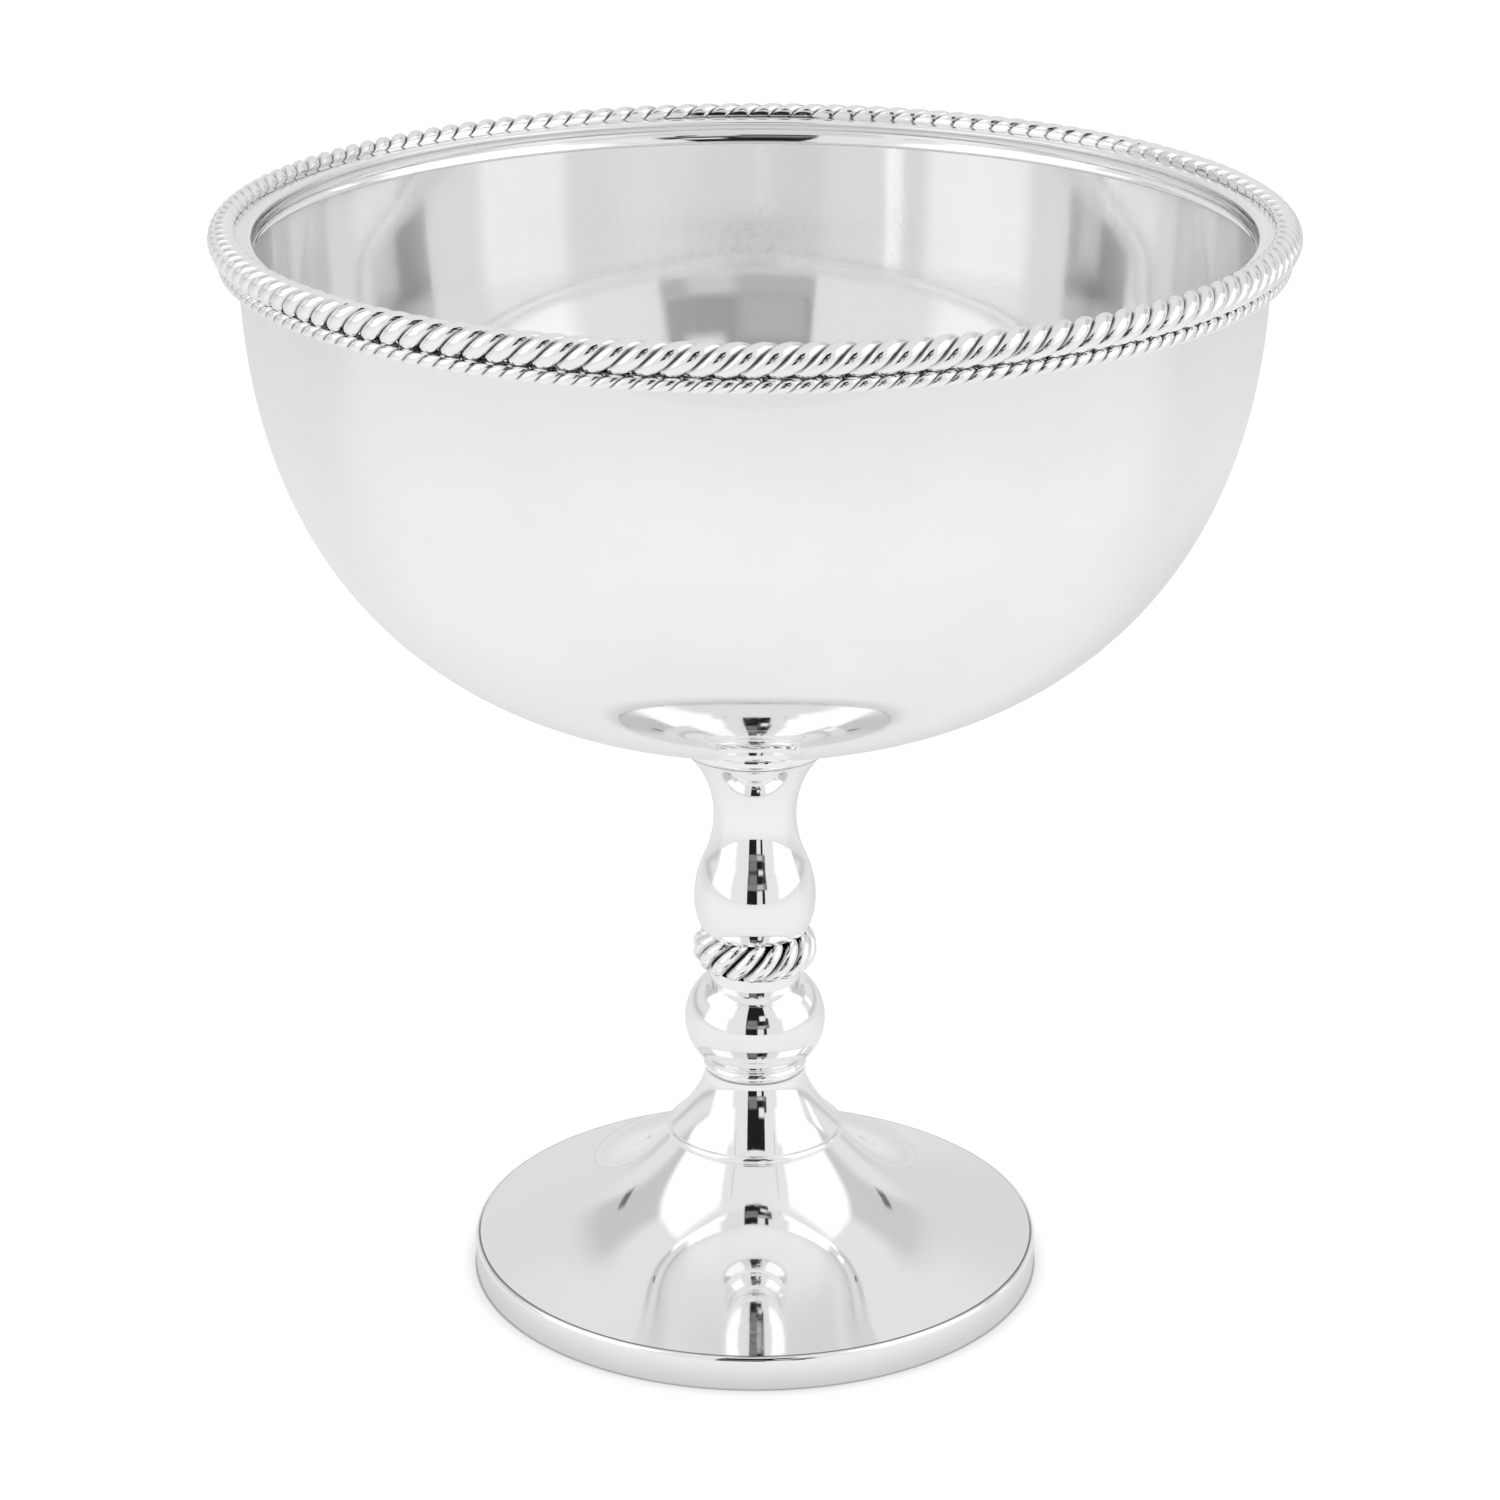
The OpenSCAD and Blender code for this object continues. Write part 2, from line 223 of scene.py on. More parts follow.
# %% [markdown]
# ## The bowl and its border
#
# The spinner presses a disc of brass sheet over a wooden chuck, trims it and
# sends it to be silvered. The inside is the same curve, one sheet smaller, but
# the roller thins the sheet towards the rim and leaves it thicker below. Those
# few tenths of a millimetre can't be seen in the shape, yet they bend the
# reflections inside, and they were fitted to where these lie. The border is a
# drawn channel that is slipped over the raw edge: a skirt on each side and a
# rounded lip, which also stiffens it.

# %% Bowl wall
outside = bowl_curve(BOWL_R, BOWL_DEPTH)
inside = bowl_curve(BOWL_R - SHEET, BOWL_DEPTH - SHEET)
BELOW_RIM = np.array([0, 12, 24, 36, 50, 70, 95.0])
THICKER = np.array([-0.6, 0, 0.5, 0.5, 0.4, 0.2, 0])
inside = thickened(inside, BELOW_RIM, THICKER)
bowl = lathe("bowl", np.concatenate([outside, inside[::-1]]), 320)
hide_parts("bowl_shell")

# %% Inside of the bowl as the second material
sides = bowl.data.polygons
centres, normals = np.empty(len(sides) * 3), np.empty(len(sides) * 3)
sides.foreach_get("center", centres)
sides.foreach_get("normal", normals)
centres, normals = centres.reshape(-1, 3), normals.reshape(-1, 3)
outward = np.sum(normals[:, :2] * centres[:, :2], 1) / BOWL_R / MM
faces_in = normals[:, 2] - outward > 0
sides.foreach_set("material_index", faces_in.astype(np.int32))
print("bowl:", len(sides), "faces,", int(faces_in.sum()), "of them inside")

# %% Border channel with its lip
LIP_H, LIP_REACH, SKIRT_H, INNER_SKIRT_H = 0.95, 0.7, 5.2, 4.1
inner_r = BOWL_R - SHEET - SEAM
inner_skirt_r = inner_r - INNER_SHEET
nose = [inner_skirt_r - LIP_REACH, LIP_H / 4]
crest = [SKIRT_R - BORDER_SHEET / 2, LIP_H]
cove = [inner_skirt_r, -INNER_SKIRT_H / 2]
toe = [inner_skirt_r - 0.8 * LIP_REACH, -INNER_SKIRT_H + INNER_SHEET / 2]
border_profile = np.concatenate([
    [[BOWL_R + SEAM, SEAM], [BOWL_R + SEAM, -SKIRT_H], [SKIRT_R, -SKIRT_H]],
    quarter([SKIRT_R, LIP_H - BORDER_SHEET / 2], crest, 8),
    quarter(nose, crest, 32)[::-1][1:],
    belly(cove, [nose[0], nose[1] - LIP_REACH / 2])[::-1],
    belly(cove, toe)[1:],
    belly(toe, [inner_r, -INNER_SKIRT_H])[1:],
    [[inner_r, SEAM]]]) + [0, RIM_Z]
border = lathe("border", border_profile, 320)
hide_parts("rim_border")
print("border:", len(border.data.polygons), "faces")

# %% [markdown]
# ## Twisted ropes
#
# A silversmith twists two or more wires, bends the rope round the rim and
# solders it on. Each strand shows as a plump lobe that leans over, with a
# narrow dark groove between it and the next. The surface is a torus in two
# parameters: along the ring, counted in strands, and across the section. The
# grid itself is sheared with the twist, so its lines run along the grooves
# and keep them crisp with few faces. How deep each point lies in its groove
# is kept as an attribute, for the grey that polish leaves in there.

# %% Twisted ring
def twisted_ring(name, ring_r, rope_r, height, strands, turns, samples, steps,
                 groove, wall_r=0, half_h=np.inf, lean=0, spread=1.0):
    """Torus of lobes. With q running from -1 to 1 over a strand, its lobe is the arc
    sqrt(1 - 0.985 q^2), and the section's radius is rope_r (1 - groove (1 - lobe)).
    Strand k at the section's share t lies at the azimuth 2 pi (k + turns t) / strands.
    The back is held at wall_r, which leans in by lean up to 0.7 of the rope's radius,
    where the lip rounds away. The top and bottom are cut flat at half_h. A spread below
    1 widens the tarnish that the groove keeps."""
    ribs = strands * samples
    i = np.arange(ribs)[:, None]
    j = np.arange(steps)[None, :]
    across = 2 * np.pi * j / steps
    along = 2 * np.pi * (i / samples + turns * j / steps) / strands
    q = 2 * ((i % samples) / samples) - 1
    lobe = np.sqrt(np.clip(1 - 0.985 * q * q, 0, 1))
    r = rope_r * (1 - groove * (1 - lobe)) * np.ones_like(across)
    z = np.clip(r * np.sin(across), -half_h, half_h)
    shoulder = 0.7 * rope_r
    wall = np.where(z > shoulder, 0, wall_r - lean * np.clip(z / shoulder, 0, 1))
    x = np.maximum(wall, ring_r + r * np.cos(across))
    points = np.stack([x * np.cos(along), x * np.sin(along), z + height], -1)
    here = np.arange(ribs * steps).reshape(ribs, steps)
    beyond = np.roll(here[:, :1], -turns * samples, 0)
    right = np.concatenate([here[:, 1:], beyond], 1)
    faces = np.stack([here, np.roll(here, -1, 0), np.roll(right, -1, 0), right], -1)
    piece = to_piece(name, points.reshape(-1, 3), faces.reshape(-1, 4).tolist(), 60)
    hollow = np.broadcast_to((1 - lobe) ** spread, (ribs, steps))
    layer = piece.data.attributes.new("hollow", "FLOAT", "POINT")
    layer.data.foreach_set("value", np.ascontiguousarray(hollow, np.float32).ravel())
    return piece


# %% Ropes of the rim
UPPER_R, LOWER_R, LIFT = 3.0, 1.4, 0.35
against_r = SKIRT_R + SEAM
upper = twisted_ring("upper_rope_ring", against_r + 0.46 * UPPER_R, UPPER_R, RIM_Z + LIFT,
                     strands=140, turns=3, samples=12, steps=36, groove=0.45,
                     wall_r=against_r, lean=0.74)
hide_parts("upper_rope")
lower = twisted_ring("lower_rope_ring", against_r + LOWER_R, LOWER_R,
                     RIM_Z + LIFT - UPPER_R - LOWER_R,
                     strands=188, turns=2, samples=8, steps=24, groove=0.4,
                     wall_r=against_r)
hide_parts("lower_rope")
for rope in (upper, lower):
    print(rope.name, len(rope.data.polygons), "faces")

# %% [markdown]
# ## The stem
#
# From the bowl down: a beaded seat, a baluster that narrows to a neck and
# swells again, a fat twisted collar, a round knop with a short neck, a bead,
# and a cone with a small ring round its base. Each is turned on its own and
# bored for the rod, so each is a profile of its own here too, and the fine
# dark seams between them come from their real gaps.

# %% Turned pieces with a bore
def turned(name, node, outline):
    """Closes an outline with the bore and turns it."""
    low, high = outline[0][1], outline[-1][1]
    piece = lathe(name, np.concatenate([[[BORE_R, low]], outline, [[BORE_R, high]]]))
    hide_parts(node)
    print(name, "from", round(low, 1), "to", round(high, 1), "mm")
    return piece


def eased(outline, ease=0.18, steps=4):
    """Rounds the first and last corner of an outline by a small quarter circle."""
    a = np.linspace(0, np.pi / 2, steps + 1)
    low, high = outline[0], outline[-1]
    foot = np.stack([low[0] - ease + ease * np.sin(a), low[1] + ease - ease * np.cos(a)], 1)
    head = np.stack([high[0] - ease + ease * np.cos(a), high[1] - ease + ease * np.sin(a)], 1)
    keep = outline[(outline[:, 1] > low[1] + ease) & (outline[:, 1] < high[1] - ease)]
    return np.concatenate([foot, keep, head])


# %% Baluster
BASE_R, BELLY_R, NECK_R, FLARE_R = 10.3, 12.05, 8.15, 14
BELLY_UP, NECK_UP = 6.8, 24.4
widest, narrowest = [BELLY_R, VASE_Z + BELLY_UP], [NECK_R, VASE_Z + NECK_UP]
middle = [(BELLY_R + NECK_R) / 2, VASE_Z + (BELLY_UP + NECK_UP) / 2]
vase_outline = np.concatenate([
    belly(widest, [BASE_R, VASE_Z])[::-1],
    belly(widest, middle)[1:],
    belly(narrowest, middle)[::-1][1:],
    belly(narrowest, [FLARE_R, SEAT_Z], 32)[1:]])
vase = turned("baluster", "stem_vase", eased(vase_outline, 0.08))

# %% Knop and bead
KNOP_R, KNOP_END_R, KNOP_NECK_R, BEAD_R = 14, 10.1, 9, 10.3
widest, knop_top = [KNOP_R, KNOP_Z + KNOP_H / 2], KNOP_Z + KNOP_H
knop = turned("knop", "stem_knop", eased(np.concatenate([
    belly(widest, [KNOP_END_R, KNOP_Z])[::-1],
    belly(widest, [KNOP_END_R, knop_top])[1:],
    [[KNOP_NECK_R, knop_top], [KNOP_NECK_R, COLLAR_Z]]])))
bead = turned("bead", "bead_ring", half_round(BEAD_R, BEAD_Z, KNOP_Z))

# %% Seat under the bowl
SEAT_BEAD_R, THROAT_R = 15, 13.25
bead_top = SEAT_Z + SEAT_BEAD_H
crown_r = THROAT_R + CROWN_H * 0.9
crown = np.linspace(crown_r, 0, 13)
seat = lathe("seat", np.concatenate([
    [[0, SEAT_Z]], half_round(SEAT_BEAD_R, SEAT_Z, bead_top),
    belly([THROAT_R, bead_top], [crown_r, bowl_outside(crown_r) - SEAM])[1:],
    np.stack([crown, bowl_outside(crown) - SEAM], 1)[1:]]))
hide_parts("bowl_seat")
print("seat:", len(seat.data.polygons), "faces")

# %% Rope collar
COLLAR_RING_R = 8.0
collar = twisted_ring("collar", COLLAR_RING_R, COLLAR_WIRE / 2, COLLAR_Z + COLLAR_H / 2,
                      strands=16, turns=4, samples=24, steps=72, groove=0.5,
                      wall_r=BORE_R, half_h=COLLAR_H / 2, spread=0.6)
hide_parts("rope_collar")
print("collar:", len(collar.data.polygons), "faces")

# %% [markdown]
# ## The cone and the foot
#
# The cone is cast and hollow below, with a web that the rod's washer pulls
# against. The spun foot comes out from under it steeply and bends away to an
# even slope, down to a crease where the plain band begins. This bend is what
# makes the bowl's picture in the foot a round dome, so it was fitted to that.
# The band has a rounded shoulder, which is why a thin bright line runs round
# under the crease.

# %% Cone
CONE_TOP_R, FLARE_POWER, RING_R, WEB_SHARE = 10, 1.65, 17.8, 0.62
t = np.linspace(0, 1, 33)
side = np.stack([CONE_TOP_R + (CONE_BASE_R - CONE_TOP_R) * t ** FLARE_POWER,
                 BEAD_Z - (CONE_H - CONE_RING) * t], 1)
web_z = CONE_Z + CONE_H * WEB_SHARE
hollow_side = side - [CONE_WALL, 0]
hollow_side = hollow_side[hollow_side[:, 1] < web_z]
cone = lathe("cone", np.concatenate([
    [[BORE_R, BEAD_Z]], side,
    half_round(RING_R, CONE_Z, CONE_Z + CONE_RING)[::-1],
    [[CONE_BASE_R - CONE_WALL, CONE_Z]], hollow_side[::-1],
    [[hollow_side[0][0], web_z], [BORE_R, web_z]]]))
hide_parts("foot_cone")
print("cone:", len(cone.data.polygons), "faces")

# %% Spread foot
def bend(t, edge_share, cone_share):
    """Bezier curve from 0 to 1: 3(1-t)^2 t edge + 3(1-t) t^2 (1-cone) + t^3."""
    by_edge = 3 * (1 - t) ** 2 * t * edge_share
    by_cone = 3 * (1 - t) * t * t * (1 - cone_share)
    return by_edge + by_cone + t ** 3


EDGE_SLOPE, CONE_SLOPE = 0.45, 2.0
slope_meet = (CONE_SLOPE - 1) / (CONE_SLOPE - EDGE_SLOPE)
edge_reach, cone_reach = 0.9 * slope_meet, 0.8 * (1 - slope_meet)
t = np.linspace(0, 1, 97)
inward = bend(t, edge_reach, cone_reach)
rise = bend(t, edge_reach * EDGE_SLOPE, cone_reach * CONE_SLOPE)
sweep = np.stack([CREASE_R - (CREASE_R - CONE_BASE_R) * inward,
                  BAND_H + (CONE_Z - BAND_H) * rise], 1)
hole_r = CONE_BASE_R - 2 * CONE_WALL
foot = lathe("foot", np.concatenate([
    sweep, [[hole_r, CONE_Z], [hole_r, CONE_Z - SHEET]], sweep[::-1] - [0, SHEET]]), 320)
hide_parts("foot_shell")

# %% Plain band
band_inner_r, under_z = FOOT_R - BAND_W, BAND_H - SHEET - SEAM
band = lathe("band", np.concatenate([
    [[band_inner_r, under_z], [band_inner_r, 0], [FOOT_R, 0]],
    quarter([FOOT_R, BAND_H - SHOULDER], [CREASE_R + SEAM, BAND_H]),
    [[CREASE_R + SEAM, under_z]]]), 320)
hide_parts("foot_band")
for piece in (foot, band):
    print(piece.name, len(piece.data.polygons), "faces")

# %% [markdown]
# ## Polished silver plate
#
# Silver reflects almost all light and tints it hardly at all, so its colour is
# near white and its metallic value is one. What tells it from chrome is use: a
# faint warm bloom of tarnish in patches, and a haze of hairlines from years of
# wiping, which makes some spots a little rougher. Both are noise on Object
# coordinates. A very weak bump bends the reflections as hand-held buffing does.
# Inside, fruit has dulled the bottom of the bowl, and the hands that lift it
# have dulled its two sides: a fine haze lies there that scatters part of the
# light, so black reflections turn grey. A metallic value that sinks below one
# does that, because the rest is then a pale diffuse surface. Dried polishing
# paste in the stem's two open seams is pale in the same way. Where the band
# meets the foot, a dark line of painted shade is laid in the crease, on the
# front half only.

# %% Node helpers
def new_material(name):
    """Node material with its own Principled shader."""
    material = bpy.data.materials.new(name)
    material.use_nodes = True
    tree = material.node_tree
    shader = next(n for n in tree.nodes if n.type == "BSDF_PRINCIPLED")
    return material, tree, shader


def place_on(tree):
    """The point on the piece in metres, and its X, Y and Z, as sockets."""
    point = tree.nodes.new("ShaderNodeTexCoord").outputs["Object"]
    split = tree.nodes.new("ShaderNodeSeparateXYZ")
    tree.links.new(point, split.inputs["Vector"])
    return point, split.outputs


def noise(tree, scale, detail=3.0, roughness=0.5):
    """Noise on Object coordinates, with scale lumps to the metre."""
    texture = tree.nodes.new("ShaderNodeTexNoise")
    texture.inputs["Scale"].default_value = scale
    texture.inputs["Detail"].default_value = detail
    texture.inputs["Roughness"].default_value = roughness
    tree.links.new(place_on(tree)[0], texture.inputs["Vector"])
    return texture.outputs["Fac"]


def ramp(tree, value, stops):
    """Colour ramp through (position, grey or colour) stops."""
    node = tree.nodes.new("ShaderNodeValToRGB")
    while len(node.color_ramp.elements) < len(stops):
        node.color_ramp.elements.new(0.5)
    for element, (position, colour) in zip(node.color_ramp.elements, stops):
        element.position = position
        if np.isscalar(colour):
            colour = (colour,) * 3
        element.color = (*colour, 1)
    tree.links.new(value, node.inputs["Fac"])
    return node.outputs["Color"]


def math_node(tree, operation, *values):
    """Math node on sockets or numbers."""
    node = tree.nodes.new("ShaderNodeMath")
    node.operation = operation
    for slot, value in zip(node.inputs, values):
        if isinstance(value, (int, float)):
            slot.default_value = value
        else:
            tree.links.new(value, slot)
    return node.outputs["Value"]


def product(tree, first, *others):
    """Product of sockets and numbers, from left to right."""
    for other in others:
        first = math_node(tree, "MULTIPLY", first, other)
    return first


def vector_node(tree, operation, point, other=None):
    """Vector math node on a point and a fixed triple: its length or distance, or a point."""
    node = tree.nodes.new("ShaderNodeVectorMath")
    node.operation = operation
    tree.links.new(point, node.inputs[0])
    if other is not None:
        node.inputs[1].default_value = other
    return node.outputs["Value" if operation in ("LENGTH", "DISTANCE") else "Vector"]


def edge(tree, value, low, high):
    """Smooth step of a socket from 0 at low to 1 at high."""
    node = tree.nodes.new("ShaderNodeMapRange")
    node.interpolation_type = "SMOOTHSTEP"
    node.inputs["From Min"].default_value = low
    node.inputs["From Max"].default_value = high
    tree.links.new(value, node.inputs["Value"])
    return node.outputs["Result"]


# %% Bump and shade helpers
BUMP_DEPTH = 0.0001


def bump(tree, shader, height, strength):
    """Bends the shader's normal by a height."""
    node = tree.nodes.new("ShaderNodeBump")
    node.inputs["Strength"].default_value = strength
    node.inputs["Distance"].default_value = BUMP_DEPTH
    tree.links.new(height, node.inputs["Height"])
    tree.links.new(node.outputs["Normal"], shader.inputs["Normal"])


def shaded(tree, shader, value, stops):
    """Multiplies the shader's colour by a ramp over a socket."""
    node = tree.nodes.new("ShaderNodeMix")
    node.data_type = "RGBA"
    node.blend_type = "MULTIPLY"
    node.inputs["Factor"].default_value = 1
    tree.links.new(shader.inputs["Base Color"].links[0].from_socket, node.inputs["A"])
    tree.links.new(ramp(tree, value, stops), node.inputs["B"])
    tree.links.new(node.outputs["Result"], shader.inputs["Base Color"])


# %% Silver
BRIGHT, BLOOM = (0.95, 0.95, 0.95), (0.925, 0.922, 0.918)


def silver(name, low=0.035, high=0.09, waves=0.03):
    """Polished plate: bloom in the colour, hairline haze from low to high in the
    roughness, and faint waves."""
    material, tree, shader = new_material(name)
    shader.inputs["Metallic"].default_value = 1
    colour = ramp(tree, noise(tree, 24, 4, 0.6), [(0.35, BLOOM), (0.62, BRIGHT)])
    tree.links.new(colour, shader.inputs["Base Color"])
    haze = ramp(tree, noise(tree, 900, 2, 0.7), [(0.42, low), (0.66, high)])
    tree.links.new(haze, shader.inputs["Roughness"])
    bump(tree, shader, noise(tree, 60, 2), waves)
    return material, tree, shader


bowl_silver = silver("silver_bowl")[0]
border_silver = silver("silver_border", low=0.04, high=0.09, waves=0.02)[0]
foot_silver = silver("silver_foot", low=0.025, high=0.07, waves=0.02)[0]
print("Silver materials:", bowl_silver.name, border_silver.name, foot_silver.name)

# %% Bowl's inside, dulled below and at its two sides
DULL = 0.5
worn_silver, tree, shader = silver("silver_bowl_inside", low=0.05, high=0.10)
axes = place_on(tree)[1]
height = product(tree, axes["Z"], 1 / MM)
aside = product(tree, math_node(tree, "ABSOLUTE", axes["X"]), 1 / MM)
clean = product(tree,
                edge(tree, height, RIM_Z - 0.33 * BOWL_DEPTH, RIM_Z - 0.28 * BOWL_DEPTH),
                edge(tree, aside, 0.84 * BOWL_R, 0.66 * BOWL_R))
metallic = math_node(tree, "MULTIPLY_ADD", clean, 1 - DULL, DULL)
tree.links.new(metallic, shader.inputs["Metallic"])
print("Bowl's inside: clean above", round(RIM_Z - 0.28 * BOWL_DEPTH, 1), "mm")

# %% Stem silver with paste in two seams
PASTE_REACH, PASTE_CORE, PASTE = 0.6, 0.3, 0.6
stem_silver, tree, shader = silver("silver_stem", low=0.02, high=0.06, waves=0.02)
height = product(tree, place_on(tree)[1]["Z"], 1 / MM)
paste = 0
for seam_z in (BEAD_Z, SEAT_Z):
    off = math_node(tree, "ABSOLUTE", math_node(tree, "SUBTRACT", height, seam_z))
    paste = math_node(tree, "ADD", paste, edge(tree, off, PASTE_REACH, PASTE_CORE))
metallic = math_node(tree, "MULTIPLY_ADD", paste, -PASTE, 1.0)
tree.links.new(metallic, shader.inputs["Metallic"])
print("Paste in the seams at", round(BEAD_Z, 1), "and", round(SEAT_Z, 1), "mm")

# %% Band silver with a painted shade line in its crease
CREASE_SHADE_CORE, CREASE_SHADE_REACH, PAINTED_CREASE_SHADE = 0.2, 0.55, 0.25
band_silver, tree, shader = silver("silver_band", low=0.025, high=0.07, waves=0.02)
point, axes = place_on(tree)
flat = vector_node(tree, "MULTIPLY", point, (1, 1, 0))
out = product(tree, vector_node(tree, "LENGTH", flat), 1 / MM)
# Painted shade: a dark line in the crease, on the front half only
painted_crease_shade = product(tree, edge(tree, out, CREASE_R + CREASE_SHADE_REACH, CREASE_R + CREASE_SHADE_CORE),
                    edge(tree, axes["Y"], 0.015, -0.005))
shaded(tree, shader, painted_crease_shade, [(0.0, 1.0), (1.0, PAINTED_CREASE_SHADE)])
print("Seam line at", round(CREASE_R, 1), "mm from the axis")

# %% [markdown]
# ## Tarnish in the ropes' grooves
#
# A cloth polishes the crests and never reaches the grooves, where silver
# sulphide stays as a dark grey line. The ropes' own attribute says how deep a
# point lies, and the colour follows it.

# %% Rope silver
rope_silver, tree, shader = silver("silver_rope", low=0.05, high=0.12, waves=0.02)
depth = tree.nodes.new("ShaderNodeAttribute")
depth.attribute_name = "hollow"
shaded(tree, shader, depth.outputs["Fac"], [(0.35, 1.0), (0.75, 0.35), (0.95, 0.06)])
print("Rope silver reads the attribute", depth.attribute_name)

# %% Plain zinc steel for the rod, washer and nut
ZINC_DARK, ZINC_PALE = (0.5, 0.5, 0.48), (0.66, 0.66, 0.64)
steel, tree, shader = new_material("zinc_steel")
shader.inputs["Metallic"].default_value = 1
spangle = ramp(tree, noise(tree, 90, 4, 0.6), [(0.3, ZINC_DARK), (0.7, ZINC_PALE)])
tree.links.new(spangle, shader.inputs["Base Color"])
grain = ramp(tree, noise(tree, 400, 3), [(0.3, 0.28), (0.7, 0.45)])
tree.links.new(grain, shader.inputs["Roughness"])
bump(tree, shader, noise(tree, 500, 3), 0.1)

# %% Give every piece its finish
finishes = {bowl: bowl_silver, border: border_silver, upper: rope_silver, lower: rope_silver,
            collar: rope_silver, vase: stem_silver, knop: stem_silver, bead: stem_silver,
            seat: stem_silver, cone: stem_silver, foot: foot_silver, band: band_silver}
for piece, material in finishes.items():
    piece.data.materials.append(material)
    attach(piece, "root")
bowl.data.materials.append(worn_silver)
for node in ("draw_rod", "rod_washer", "rod_nut"):
    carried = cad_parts[node]
    carried.data.materials.clear()
    carried.data.materials.append(steel)
print(len(finishes), "pieces ride on root")

# %% [markdown]
# ## The tent
#
# A photographer stands silver in a tent of white cloth, so that it has only
# white to reflect, and looks in through a slot. The slot shows as black bars
# on every convex piece, with lighter fields in them where it isn't quite dark
# behind the slot. The world below is such a tent, painted by direction:
# azimuth counts from the camera's side, positive to the right, and each patch
# is a soft-edged rectangle of azimuth and height laid over the ones before.
# The table ends a little in front of the bowl, so the front of the tent goes
# down to below the level of the eye. The tent is only there for what metal
# mirrors: the camera and the pale surfaces get an even white.

# %% World painted by direction
world = bpy.data.worlds.new("tent")
bpy.context.scene.world = world
world.use_nodes = True
tent = world.node_tree
tent.nodes.clear()
look = tent.nodes.new("ShaderNodeTexCoord")
split = tent.nodes.new("ShaderNodeSeparateXYZ")
tent.links.new(look.outputs["Generated"], split.inputs["Vector"])
x, y, z = (split.outputs[axis] for axis in "XYZ")
from_camera = math_node(tent, "ARCTAN2", x, product(tent, y, -1.0))
around = product(tent, from_camera, degrees(1))
up = product(tent, math_node(tent, "ARCSINE", z), degrees(1))


def patch(colour, shade, azimuth, height, soft, soft_up):
    """Lays a patch over a colour. Azimuth and height are (from, to) in degrees, and its
    edges are soft over so many degrees, sideways and upwards."""
    h, v = soft / 2, soft_up / 2
    mask = product(tent,
                   edge(tent, around, azimuth[0] - h, azimuth[0] + h),
                   edge(tent, around, azimuth[1] + h, azimuth[1] - h),
                   edge(tent, up, height[0] - v, height[0] + v),
                   edge(tent, up, height[1] + v, height[1] - v))
    node = tent.nodes.new("ShaderNodeMix")
    node.data_type = "RGBA"
    tent.links.new(mask, node.inputs["Factor"])
    if isinstance(colour, tuple):
        node.inputs["A"].default_value = colour
    else:
        tent.links.new(colour, node.inputs["A"])
    node.inputs["B"].default_value = (shade, shade, shade, 1)
    return node.outputs["Result"]


# %% Patches of the tent
CLOTH = (0.80, 0.80, 0.81, 1)
FRONT, TOP = -8, 61
PATCHES = (
    # back wall, a little darker, in two folds
    (0.76, (-190, -150), (-90, 36), 14, 16),
    (0.72, (148, 172), (-90, 36), 14, 16),
    # shaded strips of the side walls, below and above the horizon
    (0.60, (-150, -95), (-90, 6), 12, 8),
    (0.62, (95, 150), (-90, 6), 12, 8),
    (0.60, (-150, -95), (22, 46), 12, 8),
    (0.62, (95, 150), (22, 46), 12, 8),
    # front wall
    (0.83, (-54, 54), (FRONT, 90), 8, 1),
    # bright windows left and right, in three rows
    (1.14, (-90, -47), (FRONT, 26), 8, 6),
    (1.18, (47, 99), (FRONT, 26), 8, 6),
    (1.16, (-110, -41), (24, 50), 8, 6),
    (1.16, (41, 110), (24, 50), 8, 6),
    (1.16, (-108, -51), (48, TOP), 8, 6),
    (1.16, (51, 108), (48, TOP), 8, 6),
    # dark edges where two cloths meet, and one chink
    (0.18, (-138, -134.5), (22, 30), 1.5, 4),
    (0.18, (134.5, 138), (22, 30), 1.5, 4),
    (0.55, (-37.2, -36), (44, TOP), 1, 4),
    (0.55, (36, 37.2), (44, TOP), 1, 4),
    (1.15, (111, 119), (7, 22), 1.5, 3),
    # slot, its step to the right, and the lighter fields in it
    (0.015, (-15, 19), (FRONT, 57), 1, 1),
    (0.05, (15, 23.5), (15, 30), 3, 3),
    (0.20, (-13, 4), (15.5, 26), 5, 4),
    (0.22, (-15, 24), (8.5, 15.5), 2, 2),
    (0.50, (5, 17), (9.5, 14.5), 4, 2),
    (0.80, (4, 14), (FRONT, 8), 2, 2),
    (0.85, (8, 18.5), (25, 35), 3, 4),
)
mirrored = CLOTH
for laid in PATCHES:
    mirrored = patch(mirrored, *laid)
print("Patches laid:", len(PATCHES))

# %% White for the camera, the tent for what metal mirrors
path = tent.nodes.new("ShaderNodeLightPath")
ground = tent.nodes.new("ShaderNodeMix")
ground.data_type = "RGBA"
tent.links.new(path.outputs["Is Glossy Ray"], ground.inputs["Factor"])
ground.inputs["A"].default_value = (1, 1, 1, 1)
tent.links.new(mirrored, ground.inputs["B"])
background = tent.nodes.new("ShaderNodeBackground")
background.inputs["Strength"].default_value = 1.0
tent.links.new(ground.outputs["Result"], background.inputs["Color"])
output = tent.nodes.new("ShaderNodeOutputWorld")
tent.links.new(background.outputs["Background"], output.inputs["Surface"])
print("Tent nodes:", len(tent.nodes))
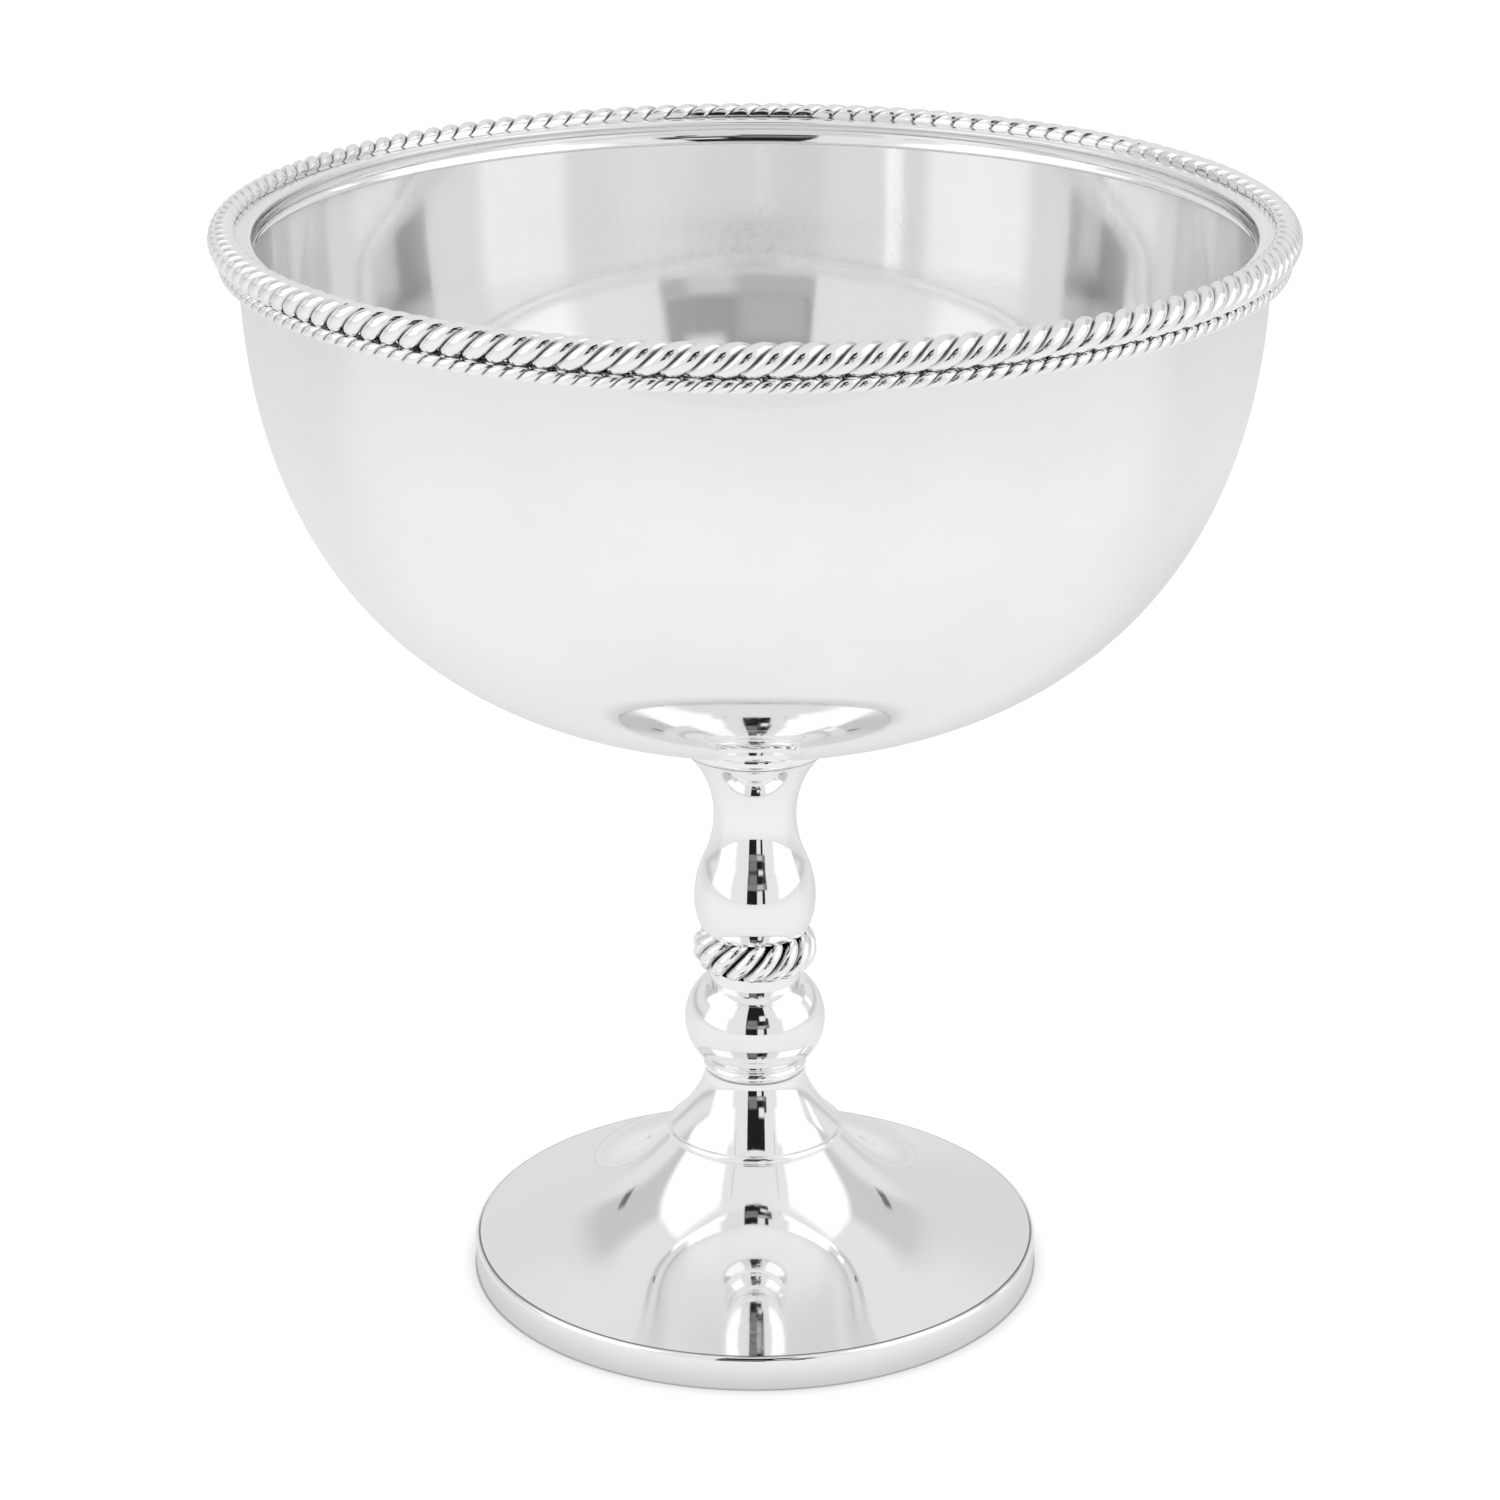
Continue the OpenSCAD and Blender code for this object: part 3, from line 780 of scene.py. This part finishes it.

# %% [markdown]
# ## The table
#
# The picture has a white ground with only a soft shadow round the foot. The
# The table is therefore half diffuse, which takes the shadow, and half a light of
# its own, which lifts the rest to white for the camera. What the silver sees
# of it is a painted pool of light: a little less bright, darker towards the
# back, and falling off away from the middle, as under a lamp overhead, and that
# is what shapes the bowl's sides. Close round the foot it darkens in two rings
# of painted shadow, and behind the bowl lies one dimmer patch of painted
# shadow, which the stem and the foot mirror.

# %% Table sheet
WIDE, FRONT_Y, BACK_Y = 6.0, -0.68, 6.0
corners = [(-WIDE, FRONT_Y, 0), (WIDE, FRONT_Y, 0), (WIDE, BACK_Y, 0), (-WIDE, BACK_Y, 0)]
table_mesh = bpy.data.meshes.new("table")
table_mesh.from_pydata(corners, [], [(0, 1, 2, 3)])
table = bpy.data.objects.new("table", table_mesh)
bpy.context.scene.collection.objects.link(table)
table.location.z = -0.02 * MM
print("Table from", FRONT_Y, "to", BACK_Y, "m")

# %% How bright the table glows, with its painted light and shadows, seen by the camera and mirrored
paper = bpy.data.materials.new("paper")
paper.use_nodes = True
tree = paper.node_tree
tree.nodes.clear()
point, axes = place_on(tree)


def share(value, low, high, first, last):
    """Smooth change from first at low to last at high, in metres."""
    node = tree.nodes.new("ShaderNodeMapRange")
    node.interpolation_type = "SMOOTHSTEP"
    names = ("From Min", "From Max", "To Min", "To Max")
    for name, number in zip(names, (low, high, first, last)):
        node.inputs[name].default_value = number
    tree.links.new(value, node.inputs["Value"])
    return node.outputs["Result"]


EDGE_R, BOWL_SHADOW_PLACE, CAMERA_LEVEL = FOOT_R * MM, (0.06, 0.29, 0), 0.58
away = vector_node(tree, "LENGTH", point)
from_bowl_shadow = vector_node(tree, "DISTANCE", point, BOWL_SHADOW_PLACE)
# Painted light for what the silver mirrors: a pool that falls off from the middle and towards
# the back, two rings of painted shadow round the foot, and a painted shadow of the bowl
# behind it
seen = product(tree,
               share(away, 0.1, 0.9, 0.44, 0.33),
               share(axes["Y"], -0.04, 0.16, 1.0, 0.80),
               share(axes["Y"], 0.3, 1.2, 1.0, 0.80),
               share(away, EDGE_R, EDGE_R + 0.012, 0.60, 1.0),
               share(away, EDGE_R, EDGE_R + 0.0006, 0.0, 1.0),
               share(from_bowl_shadow, 0.08, 0.26, 0.70, 1.0))
# Painted shadow for the camera: two rings close round the foot
straight = product(tree,
                   share(away, EDGE_R, EDGE_R + 0.003, 0.72, 1.0), CAMERA_LEVEL,
                   share(away, EDGE_R, EDGE_R + 0.0005, 0.0, 1.0))

# %% Paper
level = tree.nodes.new("ShaderNodeMix")
level.data_type = "FLOAT"
path = tree.nodes.new("ShaderNodeLightPath")
tree.links.new(path.outputs["Is Camera Ray"], level.inputs["Factor"])
tree.links.new(seen, level.inputs["A"])
tree.links.new(straight, level.inputs["B"])
glow = tree.nodes.new("ShaderNodeEmission")
tree.links.new(level.outputs["Result"], glow.inputs["Strength"])
diffuse = tree.nodes.new("ShaderNodeBsdfDiffuse")
diffuse.inputs["Color"].default_value = (0.5, 0.5, 0.5, 1)
both = tree.nodes.new("ShaderNodeAddShader")
tree.links.new(diffuse.outputs["BSDF"], both.inputs[0])
tree.links.new(glow.outputs["Emission"], both.inputs[1])
end = tree.nodes.new("ShaderNodeOutputMaterial")
tree.links.new(both.outputs["Shader"], end.inputs["Surface"])
table_mesh.materials.append(paper)
print("Paper nodes:", len(tree.nodes))

# %% [markdown]
# ## View
#
# The Standard view shows each colour as it is written, so the white ground
# stays white and black bars stay black.

bpy.context.scene.view_settings.view_transform = "Standard"
